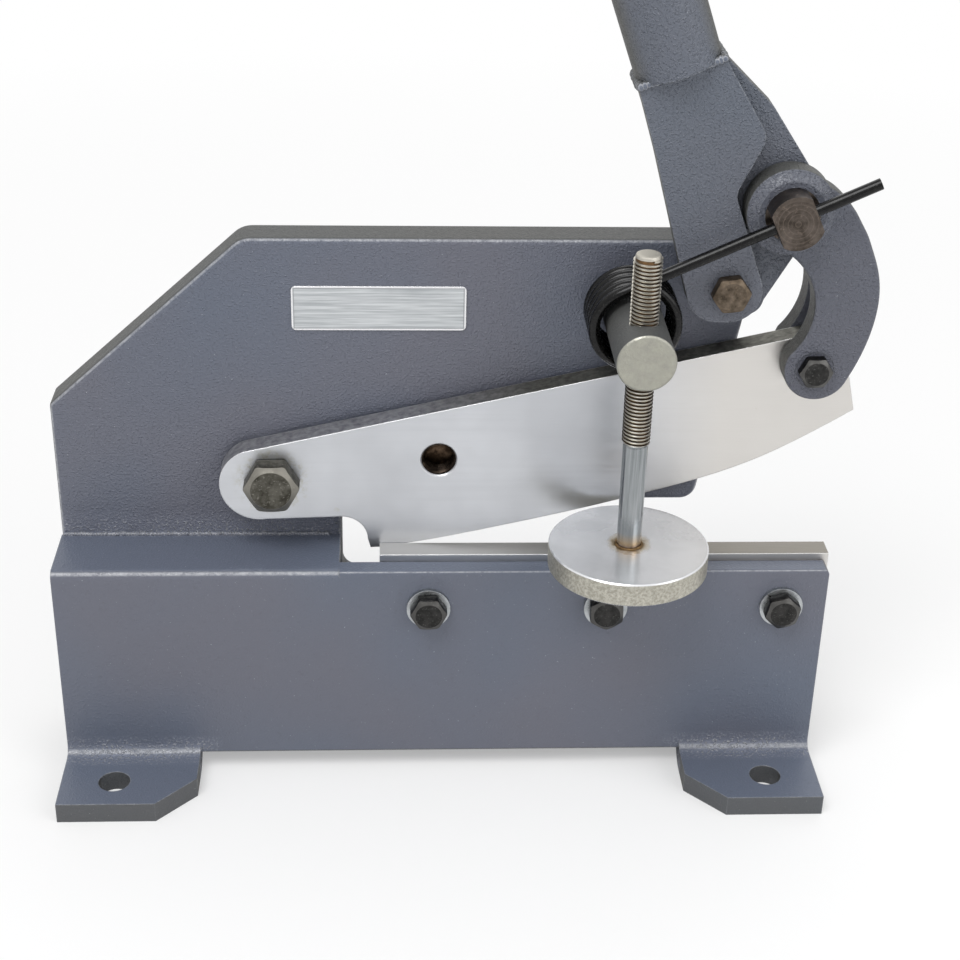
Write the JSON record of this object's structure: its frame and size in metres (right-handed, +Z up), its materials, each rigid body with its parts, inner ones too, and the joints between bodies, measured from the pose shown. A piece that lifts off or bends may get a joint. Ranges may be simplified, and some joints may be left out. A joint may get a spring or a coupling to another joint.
{
  "type": "hand plate shear",
  "caption": "Bench-mounted hand lever shear for sheet and plate: welded plate frame with throat, curved upper blade, hooked links, return spring and screw hold-down.",
  "frame": {"origin": "on the bench face, midway between the two front foot bolts", "axes": "+X along the blades from the pivot end to the lever end, +Y away from the operator, +Z up"},
  "size_m": [0.4355, 0.1753, 0.8239],
  "materials": {
    "grey_enamel": "slate-grey hammertone enamel",
    "ground_steel": "ground bright steel",
    "black_steel": "black oxide steel",
    "zinc_steel": "zinc-plated steel",
    "spring_steel": "dark spring steel",
    "grip_rubber": "moulded rubber",
    "label_aluminium": "bare satin label plate"
  },
  "bodies": {
    "frame": {"front_plate": "grey_enamel", "rear_plate": "grey_enamel", "rear_foot": "grey_enamel", "tie_block_left": "grey_enamel", "tie_block_right": "grey_enamel", "lower_blade": "ground_steel", "blade_bolt_1": "black_steel", "blade_bolt_2": "black_steel", "blade_bolt_3": "black_steel", "blade_washer_1": "zinc_steel", "blade_washer_2": "zinc_steel", "blade_washer_3": "zinc_steel", "blade_pivot_bolt": "black_steel", "blade_pivot_washer": "zinc_steel", "blade_pivot_nut": "black_steel", "lever_bolt": "black_steel", "lever_washer": "zinc_steel", "lever_nut": "black_steel", "hold_down_post": "ground_steel", "nameplate": "label_aluminium", "spring_coil": "spring_steel"},
    "lever": {"crank_plate": "grey_enamel", "handle_plate": "grey_enamel", "handle_socket": "grey_enamel", "handle_tube": "grey_enamel", "handle_grip": "grip_rubber", "socket_screw": "black_steel"},
    "blade": {"upper_blade": "ground_steel"},
    "link": {"link_front": "grey_enamel", "link_rear": "grey_enamel", "link_bolt": "black_steel", "link_washer": "zinc_steel", "link_nut": "black_steel"},
    "pin": {"crank_pin": "black_steel"},
    "leg": {"spring_leg": "spring_steel"},
    "hold_down": {"hold_down_rod": "zinc_steel", "pressure_disc": "ground_steel"}
  },
  "joints": [
    {"name": "lever_hinge", "type": "hinge", "parent": "frame", "child": "lever", "pos_m": [0.1455, 0.052, 0.29], "axis": [0, 1, 0], "range_deg": [0, 90], "stiffness_Nm_per_rad": 6, "springref_deg": -20.05},
    {"name": "blade_hinge", "type": "hinge", "parent": "frame", "child": "blade", "pos_m": [-0.0932, 0.052, 0.1739], "axis": [0, 1, 0], "range_deg": [0, 14.2]},
    {"name": "link_hinge", "type": "hinge", "parent": "lever", "child": "link", "pos_m": [0.1724, 0.052, 0.3335], "axis": [0, 1, 0], "range_deg": [-84, 0]},
    {"name": "pin_hinge", "type": "hinge", "parent": "lever", "child": "pin", "pos_m": [0.1724, 0.052, 0.3335], "axis": [0, 1, 0], "range_deg": [-45.5, 0]},
    {"name": "leg_hinge", "type": "hinge", "parent": "frame", "child": "leg", "pos_m": [0.0965, 0.028, 0.2743], "axis": [0, 1, 0], "range_deg": [0, 46]},
    {"name": "hold_down_slide", "type": "slide", "parent": "frame", "child": "hold_down", "axis": [0, 0, 1], "range_m": [-0.009, 0.03]}
  ],
  "couplings": [
    {"joint": "blade_hinge", "follows": "lever_hinge", "ratio": 0.1563},
    {"joint": "link_hinge", "follows": "lever_hinge", "ratio": -0.92},
    {"joint": "pin_hinge", "follows": "lever_hinge", "ratio": -0.497},
    {"joint": "leg_hinge", "follows": "lever_hinge", "ratio": 0.503}
  ]
}
